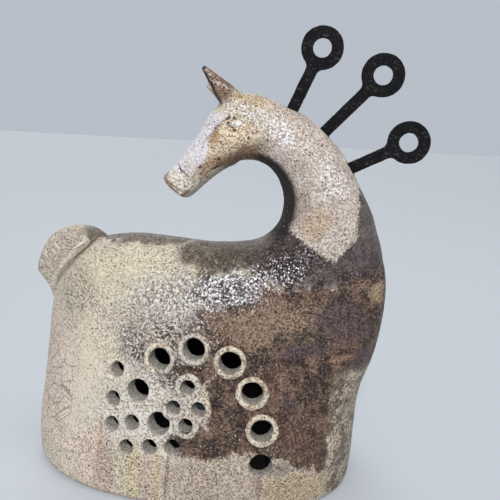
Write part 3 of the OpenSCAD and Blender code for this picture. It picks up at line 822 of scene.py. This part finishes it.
def drill(shares, diameter):
    mouth, _, along = hole(shares)
    deselect_all()
    bpy.ops.mesh.primitive_cylinder_add(
        vertices=48, radius=diameter / 2 * MM, depth=(WALL + DRILL_OVERRUN) * MM,
        location=mouth - along * (WALL / 2) * MM, rotation=along.to_track_quat("Z", "Y").to_euler())
    return settle(new_piece("drill"))


THICK_AT, THICK_REACH, THICK_BY = (-48, 68), (38, 42), 4


def wall_at(places):
    """The wall's thickness in millimetres: it is thicker behind the small plain holes."""
    near = ((places[:, [0, 2]] / MM - THICK_AT) / THICK_REACH) ** 2
    return WALL + THICK_BY * np.exp(-near.sum(1)) * (places[:, 1] < 0)


# The shares of the rolled grid's length that make the hollow, the foot's bevel and the outside
HOLLOW, BEVEL_END, OUTSIDE = (0.01, 0.40), 0.415, (0.42, 0.98)
BODY_END = ROOT + 1.5


def body_form(u, v):
    """The body from the roof of its hollow, down inside, round the foot and up outside."""
    angle = u * 2 * math.pi
    place = np.interp(v, HOLLOW, [CEILING_ROW, 0])
    inner = skin(place, angle)
    inner -= wall_at(inner)[:, None] * MM * skin_normal(place, angle)
    inner[:, 2] = np.where(place <= 0, 0, inner[:, 2])
    ceiling = np.full_like(u, CEILING_ROW)
    roof = skin(ceiling, angle) - WALL * MM * skin_normal(ceiling, angle)
    inner = np.where((v < HOLLOW[0] / 2)[:, None], roof.mean(0), inner)
    foot = SKIN[0] + FOOT_BEVEL * np.array([1, 0, -1, 0, -1, 0, 0, 0])
    bevel = row_point(np.broadcast_to(foot, (len(u), 8)), angle)
    outer = skin(np.interp(v, OUTSIDE, [0, BODY_END]), angle)
    outer[:, 2] = np.maximum(outer[:, 2], FOOT_BEVEL * MM)
    top = skin(np.full_like(u, BODY_END), angle).mean(0)
    outer = np.where((v > 0.99)[:, None], top, outer)
    outer = np.where((v < BEVEL_END)[:, None], bevel, outer)
    return np.where((v <= HOLLOW[1])[:, None], inner, outer)


def whole_skin(low, high):
    """The uncut skin between two places, for measuring how deep a point lies."""
    def shape(u, v):
        return skin(low + v * (high - low), u * 2 * math.pi)
    piece = roll("gauge", 180, 120, shape)
    mesh = bmesh.new()
    mesh.from_mesh(piece.data)
    tree = BVHTree.FromBMesh(mesh)
    mesh.free()
    bpy.data.objects.remove(piece)
    return tree


def depths_of(piece, gauge):
    """How far each point lies below the uncut skin, in millimetres."""
    return [gauge.find_nearest(vertex.co)[3] / MM for vertex in piece.data.vertices]


def mark_depth(piece, gauge):
    """Writes how far through the wall each point lies, as if the wall were even."""
    marks_and_crease_shade = piece.data.attributes.new("depth", "FLOAT", "POINT")
    share = WALL / wall_at(points_of(piece))
    marks_and_crease_shade.data.foreach_set("value", np.array(depths_of(piece, gauge)) * share)
    return piece


def plane_between(row):
    """The flat joint at a row: a point of it and its normal towards the head."""
    x, z = middle(row)
    along = Vector((row[2] - row[0], 0, row[3] - row[1])).normalized()
    return Vector((x * MM, 0, z * MM)), Vector((-along.z, 0, along.x))


ROOT_PLANE, POLL_PLANE = plane_between(SKIN[ROOT]), plane_between(SKIN[POLL])
OVERLAP = 0.4 * MM
# The joint at the neck's root cuts the body only past this place along X
NECK_SIDE = 22 * MM
FLOOR_SNAP, MOST_HALF_DEPTH = 0.6 * MM, 85.9 * MM
BODY_TRIANGLES, HEAD_TRIANGLES = 190000, 180000


def hand_marks(piece, where=""):
    """The hand's unevenness, mostly inwards so that the figure keeps its size."""
    unevenness(piece, 34, 1.5, 0.75, where=where)
    unevenness(piece, 11, 0.6, 0.6, where=where)
    return unevenness(piece, 2.6, 0.40, 0.6, 2, where=where)


def make_body():
    body = roll("horse_body", 240, 200, body_form)
    drills = [drill(shares, LARGE_HOLE) for shares in COLLARED + PLAIN_LARGE]
    drills += [drill(shares, SMALL_HOLE) for shares in PADDED + PLAIN_SMALL]
    cut_away(body, join("drills", *drills))
    wet_smooth(body, 1.2, 2, 0.4)
    gauge = whole_skin(0, BODY_END)
    outside = body.vertex_groups.new(name="outside")
    for number, depth in enumerate(depths_of(body, gauge)):
        if depth < 3:
            outside.add([number], min(1, (3 - depth) / 1.5), "REPLACE")
    hand_marks(body, "outside")
    body.vertex_groups.clear()
    even_out(body, BODY_TRIANGLES)
    point, normal = ROOT_PLANE
    trim(body, point + normal * OVERLAP, normal, NECK_SIDE)
    places = points_of(body)
    places[:, 2] = np.where(places[:, 2] < FLOOR_SNAP, 0, places[:, 2])
    places[:, 1] = np.clip(places[:, 1], -MOST_HALF_DEPTH, MOST_HALF_DEPTH)
    move_points(body, places)
    mark_depth(body, gauge)
    return finish(body, CLAY, "figure", ["body_shell"])


COLLAR_RADIUS, COLLAR_THICKNESS = 10.35, 2.05


def make_collar(number, shares):
    """A ring of clay pressed on round a hole and crumbled by hand."""
    mouth, out, _ = hole(shares)
    deselect_all()
    bpy.ops.mesh.primitive_torus_add(
        major_radius=COLLAR_RADIUS * MM, minor_radius=COLLAR_THICKNESS * MM,
        major_segments=96, minor_segments=20)
    collar = new_piece(f"hole_collar_{number}")
    turn = out.to_track_quat("Z", "Y").to_matrix()
    places = []
    for x, y, z in points_of(collar):
        seat, normal, _, _ = OUTER.find_nearest(mouth + turn @ Vector((x, y, 0)))
        height = z * 1.12 if z > 0 else z * 0.8
        places.append(seat + normal * (height + 0.2 * MM))
    move_points(collar, np.array(places))
    modify(collar, "SUBSURF", levels=1, render_levels=1)
    unevenness(collar, 7, 0.9, 0.5)
    unevenness(collar, 1.7, 0.55, 0.5, 2)
    return finish(collar, PALE, "figure", [f"hole_collar_{number}"], 60)


def cad_copy(node, name):
    """A copy of a CAD node as a piece of its own, with its loose triangles merged."""
    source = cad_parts[node]
    copy = source.copy()
    copy.data = source.data.copy()
    copy.parent = None
    copy.matrix_world = source.matrix_world.copy()
    bpy.context.scene.collection.objects.link(copy)
    only(copy)
    new_piece(name)
    settle(copy)
    return in_edit(copy, merge)


def make_pads():
    pads = cad_copy("small_hole_pads", "hole_pads")
    wet_smooth(pads, 0.5, 5)
    places = points_of(pads)
    out = hole(PADDED[1])[1]
    move_points(pads, places + np.array(out) * 0.25 * MM)
    unevenness(pads, 8, 0.8, 0.5)
    unevenness(pads, 1.7, 0.5, 0.5, 2)
    return finish(pads, PALE, "figure", ["small_hole_pads"], 60)


# Neck, head, ears and tail

# Where each rod enters the crest along X and Z, and its angle above level
ROD_ENTRIES = [(54.94, 296.13), (80.33, 280.65), (102.35, 254.80)]
ROD_ANGLES = [66.5, 47, 27.5]
RING_RADIUS, RING_MIDDLE, RING_HALF_WIDTH, RING_WEAR = 15.5, 11.0, 3, 0.45

# Each slot: its size along, across and through the crest, and how far down its middle lies
SLOT_SIZE, SLOT_DOWN = (13.6 * MM, 5.6 * MM, 9.8 * MM), 1.5 * MM
BORE_RADIUS, BORE_LENGTH, BORE_DOWN = 2.6 * MM, 18 * MM, 13.6 * MM


def socket_cutters(number):
    """The slot and the bore that a rod stands in."""
    x, z = ROD_ENTRIES[number]
    angle = math.radians(ROD_ANGLES[number])
    along = Vector((math.cos(angle), 0, math.sin(angle)))
    entry = Vector((x * MM, 0, z * MM))
    deselect_all()
    bpy.ops.mesh.primitive_cube_add(size=1, location=entry - along * SLOT_DOWN,
                                    rotation=(0, -angle, 0), scale=SLOT_SIZE)
    slot = settle(new_piece("slot"))
    deselect_all()
    bpy.ops.mesh.primitive_cylinder_add(
        vertices=24, radius=BORE_RADIUS, depth=BORE_LENGTH, location=entry - along * BORE_DOWN,
        rotation=along.to_track_quat("Z", "Y").to_euler())
    return slot, settle(new_piece("bore"))


def length_of_skin(low, high, last):
    """The form of the skin between two places, closed over both ends."""
    def shape(u, v):
        angle = u * 2 * math.pi
        ring = skin(np.interp(v, [0.01, last], [low, high]), angle)
        for past_end, place in ((v < 0.004, low), (v > 0.996, high)):
            middle_of_end = skin(np.full_like(u, place), angle).mean(0)
            ring = np.where(past_end[:, None], middle_of_end, ring)
        return ring
    return shape


def make_neck():
    neck = roll("neck", 120, 140, length_of_skin(ROOT - 1.2, POLL + 1.0, 0.99))
    for number in range(3):
        for cutter in socket_cutters(number):
            cut_away(neck, cutter)
    wet_smooth(neck, 0.9, 4)
    hand_marks(neck)
    point, normal = ROOT_PLANE
    trim(neck, point, -normal)
    point, normal = POLL_PLANE
    trim(neck, point + normal * OVERLAP, normal)
    return finish(neck, CLAY, "figure", ["neck"])


EAR_WIDTH, EAR_THICKNESS, EAR_SPLAY, EAR_OUT = 18, 12, 8, 0.27 * HEAD_WIDTH

# Each row: how high up the ear it lies, and its shares of half width, half depth and scoop
EAR_ROWS = [
    [-0.35, 0.50, 0.50, 0.00],
    [0.00, 0.47, 0.46, 0.06],
    [0.25, 0.40, 0.40, 0.16],
    [0.50, 0.31, 0.32, 0.20],
    [0.72, 0.225, 0.25, 0.14],
    [0.88, 0.165, 0.18, 0.04],
    [0.97, 0.12, 0.13, 0.00],
    [1.00, 0.07, 0.07, 0.00],
]


def make_ear(name, place_share, length, lean, side):
    """An ear rolled from a flat grid, scooped in front and set on the crown."""
    rows = np.array(EAR_ROWS)

    def shape(u, v):
        at = np.clip((v - 0.04) / 0.92, 0, 1) * (len(rows) - 1)
        r = np.stack([np.interp(at, np.arange(len(rows)), rows[:, k]) for k in range(4)], -1)
        angle = u * 2 * math.pi
        scoop = np.maximum(-side * np.sin(angle), 0)
        closed = np.where((v < 0.02) | (v > 0.98), 0, 1)
        x = r[:, 1] * EAR_WIDTH * np.cos(angle) * closed
        y = (r[:, 2] * np.sin(angle) + side * r[:, 3] * scoop ** 2) * EAR_THICKNESS * closed
        z = r[:, 0] * length
        a, b = math.radians(-side * EAR_SPLAY), math.radians(-lean)
        y, z = y * math.cos(a) - z * math.sin(a), y * math.sin(a) + z * math.cos(a)
        x, z = x * math.cos(b) + z * math.sin(b), -x * math.sin(b) + z * math.cos(b)
        crown = skin(np.array(POLL + place_share * (MUZZLE - POLL)), np.array(0.0)) / MM
        return np.stack([x + crown[0], y + side * EAR_OUT, z + crown[2]], -1) * MM
    return roll(name, 36, 40, shape)


# What is pressed and scored into the head, in the order and the terms of press and score
HEAD_SPOTS = [
    (15.5, 284, 8, 5.5, 10, 1.4), (-2, 262, 5, 13, 38, 0.6), (19, 272, 11, 9, 0, -1.0),
    (-34, 237, 9, 7, 40, -1.2), (-25, 246, 6, 4.5, 50, 0.8), (-40, 240, 2.6, 1.9, 30, 1.2),
    (29, 262, 12, 4, 20, 0.8), (13, 291, 8, 3.5, 10, -0.8),
]
EYE_LID = (16.1, 284.0, 4.8, 2.0, 6, -1.1)
HEAD_LINES = [
    ([(10, 284), (13, 287.6), (17.4, 288.4), (21.8, 285.8)], 1.2, -0.5),
    ([(10.4, 283.4), (13, 286), (17.2, 286.8), (21, 284.8)], 0.8, 0.4),
    ([(10.2, 283.6), (12, 281.4), (15, 281)], 0.9, 0.9),
    ([(9, 290), (5, 284), (-1.8, 279), (-5.3, 270), (-7.6, 262)], 1.6, 0.5),
    ([(-28, 228.5), (-31, 231.5), (-35, 234)], 0.9, 0.8),
    ([(-31, 250), (-26, 245), (-23, 238)], 0.9, 0.8),
    ([(-29, 244), (-25, 240)], 0.8, 0.7), ([(-3, 248), (0, 250), (3, 253)], 0.9, 0.8),
    ([(-12, 243), (-8, 247)], 0.9, 0.5),
]


def make_head():
    blank = roll("head", 120, 120, length_of_skin(POLL - 1.2, float(MUZZLE), 0.985))
    near = make_ear("near", 0.15, 28, 43, -1)
    far = make_ear("far", 0.177, 22, 63, 1)
    head = join("head_with_ears", blank, near, far)
    wet_smooth(head, 0.6, 6)
    press(head, *HEAD_SPOTS)
    press(head, EYE_LID)
    score(head, *HEAD_LINES)
    hand_marks(head)
    point, normal = POLL_PLANE
    trim(head, point, -normal)
    even_out(head, HEAD_TRIANGLES)
    return finish(head, CLAY, "figure", ["head", "near_ear", "far_ear"], 50)


TAIL_ROW, TAIL_SIZE = 8, 64
TAIL_HALF_WIDTH, TAIL_CROWN, TAIL_ROUNDING = 9.0, 1.5, 6.0

# Each point of the rim: its shares of the tail's size along X and Z, and of its rounding
TAIL_OUTLINE = [
    [-0.18, -0.585, 0.3], [-0.25, -0.50, 0.4], [-0.32, -0.39, 0.7], [-0.42, -0.28, 1],
    [-0.44, -0.19, 1], [-0.41, -0.06, 1], [-0.33, 0.12, 1], [-0.21, 0.28, 1],
    [-0.06, 0.37, 1], [0.12, 0.415, 1], [0.29, 0.41, 1], [0.43, 0.36, 0.8],
    [0.54, 0.25, 0.5], [0.40, 0.04, 0.8], [0.16, -0.12, 1], [0.00, -0.38, 0.7],
]


def make_tail():
    """A slab set at the rump's corner, its rim pinched round."""
    outline = np.array(TAIL_OUTLINE)
    count = len(outline)
    root = SKIN[TAIL_ROW][:2]
    half, crown, soft = TAIL_HALF_WIDTH, TAIL_CROWN, TAIL_ROUNDING

    def along(u):
        at = (u % 1) * count
        i = np.floor(at).astype(int) % count
        around = (outline[(i + k) % count] for k in (-1, 0, 1, 2))
        return curve(*around, (at - np.floor(at))[:, None])

    def shape(u, v):
        rim = along(u)
        p = root + TAIL_SIZE * rim[:, :2]
        centre = root + TAIL_SIZE * outline[:, :2].mean(0)
        turn = np.clip((v - 0.3) / 0.4, 0, 1) * math.pi - math.pi / 2
        inset = soft * (1 - np.cos(turn)) * rim[:, 2]
        ahead, behind = along(u + 0.004), along(u - 0.004)
        way = ahead[:, :2] - behind[:, :2]
        way /= np.linalg.norm(way, axis=1, keepdims=True)
        p = p - inset[:, None] * np.stack([-way[:, 1], way[:, 0]], -1)
        near = np.clip(np.abs(v - 0.5) - 0.2, 0, 0.3) / 0.3
        p = p + (centre - p) * near[:, None]
        y = np.sign(np.sin(turn)) * (half - soft) + soft * np.sin(turn)
        y = y + np.sign(v - 0.5) * crown * np.sin(near * math.pi / 2)
        y = np.where(np.abs(v - 0.5) < 0.2, (half - soft) * np.clip((v - 0.5) / 0.03, -1, 1)
                     + soft * np.sin(turn), y)
        return np.stack([p[:, 0], y, p[:, 1]], -1) * MM
    tail = roll("tail", 160, 60, shape)
    wet_smooth(tail, 0.8, 4)
    hand_marks(tail)
    return finish(tail, CLAY, "figure", ["tail"])


# The iron rods

def narrow_ring(rod, number):
    """Draws the ring's hole in again by what the smoothing took off its edge."""
    x, z = ROD_ENTRIES[number]
    angle = math.radians(ROD_ANGLES[number])
    along = np.array([math.cos(angle), math.sin(angle)])
    places = points_of(rod)
    flat = places[:, [0, 2]] / MM - (x, z)
    away = flat - along * ((flat @ along).max() - RING_RADIUS)
    radius = np.linalg.norm(away, axis=1)
    inwards = np.clip((RING_MIDDLE - radius) / RING_HALF_WIDTH, 0, 1) * RING_WEAR
    flat -= away * (inwards / radius)[:, None]
    places[:, [0, 2]] = (flat + (x, z)) * MM
    return move_points(rod, places)


def make_rod(number, body):
    rod = cad_copy(f"mane_rod_{number}", f"iron_rod_{number}")
    wet_smooth(rod, 0.5, 3)
    narrow_ring(rod, number - 1)
    unevenness(rod, 6, 0.5, 0.75)
    unevenness(rod, 1.5, 0.25, 0.7, 2)
    return finish(rod, IRON, body, [f"mane_rod_{number}"], 50)


OUTER = whole_skin(0, 8)
make_body()
for count, shares in enumerate(COLLARED, 1):
    make_collar(count, shares)
make_pads()
make_neck()
make_head()
make_tail()
for count, body in enumerate(["upper_rod", "middle_rod", "lower_rod"], 1):
    make_rod(count, body)

# Floor, light and camera

deselect_all()
bpy.ops.mesh.primitive_plane_add(size=8, location=(0, 0, 0))
floor = new_piece("floor")
HOLLOW_REACH = (0.112, 0.066)
material, tree, shader, start, place = new_material("pale floor")
away = place.stretch(1 / HOLLOW_REACH[0], 1 / HOLLOW_REACH[1], 1)
away = away.length()
shadow = away.step(1.04, 0.9)
colour = start.blend(srgb(192, 199, 207), srgb(46, 45, 45), shadow)
connect(tree, shader, base_color=colour, roughness=0.85)
floor.data.materials.append(material)

world = bpy.context.scene.world or bpy.data.worlds.new("World")
bpy.context.scene.world = world
world.use_nodes = True
tree = world.node_tree
start = Shade(tree)
# The light that the room gives, and how bright the eye and reflections see it
ROOM_LIGHT, ROOM_SEEN = 0.42, 0.78
camera_ray, glossy_ray, passing_ray = (start.node("ShaderNodeLightPath", output=f"Is {kind} Ray")
                                       for kind in ("Camera", "Glossy", "Transmission"))
seen = camera_ray.most(glossy_ray).most(passing_ray)
room = tree.nodes["Background"]
colour = start.blend(srgb(216, 214, 212), srgb(206, 213, 223), seen)
tree.links.new(colour.socket, room.inputs["Color"])
strength = start.node("ShaderNodeMix", {"data_type": "FLOAT"},
                      {0: seen, 2: ROOM_LIGHT, 3: ROOM_SEEN}, 0)
tree.links.new(strength.socket, room.inputs["Strength"])


def lamp(name, kind, place, aim, size, power):
    light = bpy.data.lights.new(name, kind)
    light.energy = power
    if kind == "SUN":
        light.angle = size
    else:
        light.shape = "DISK"
        light.size = size
    stand = bpy.data.objects.new(name, light)
    bpy.context.scene.collection.objects.link(stand)
    stand.location = place
    stand.rotation_euler = (Vector(aim) - Vector(place)).to_track_quat("-Z", "Y").to_euler()


lamp("window", "SUN", (0.15, -0.92, 0.86), (0, 0, 0.15), math.radians(20), 2.55)
lamp("rear window", "SUN", (-0.5, 0.9, 0.8), (0, 0, 0.15), math.radians(50), 0.9)
lamp("ceiling", "AREA", (0.2, -0.1, 1.7), (0, 0, 0.1), 1.0, 5)

CAMERA_PLACE, LENS, FILM_WIDTH = (0.1084, -0.4634, 0.300), 43.2, 36
right = Vector((0.982, 0.183, 0.040))
down = Vector((0.082, -0.228, -0.970))
ahead = Vector((-0.169, 0.956, -0.239))
camera_data = bpy.data.cameras.new("camera")
camera_data.sensor_fit = "HORIZONTAL"
camera_data.sensor_width = FILM_WIDTH
camera_data.lens = LENS
camera = bpy.data.objects.new("camera", camera_data)
bpy.context.scene.collection.objects.link(camera)
turned = Matrix((right, -down, -ahead)).transposed()
camera.matrix_world = Matrix.Translation(CAMERA_PLACE) @ turned.to_4x4()
bpy.context.scene.camera = camera
bpy.context.scene.view_settings.view_transform = "Standard"
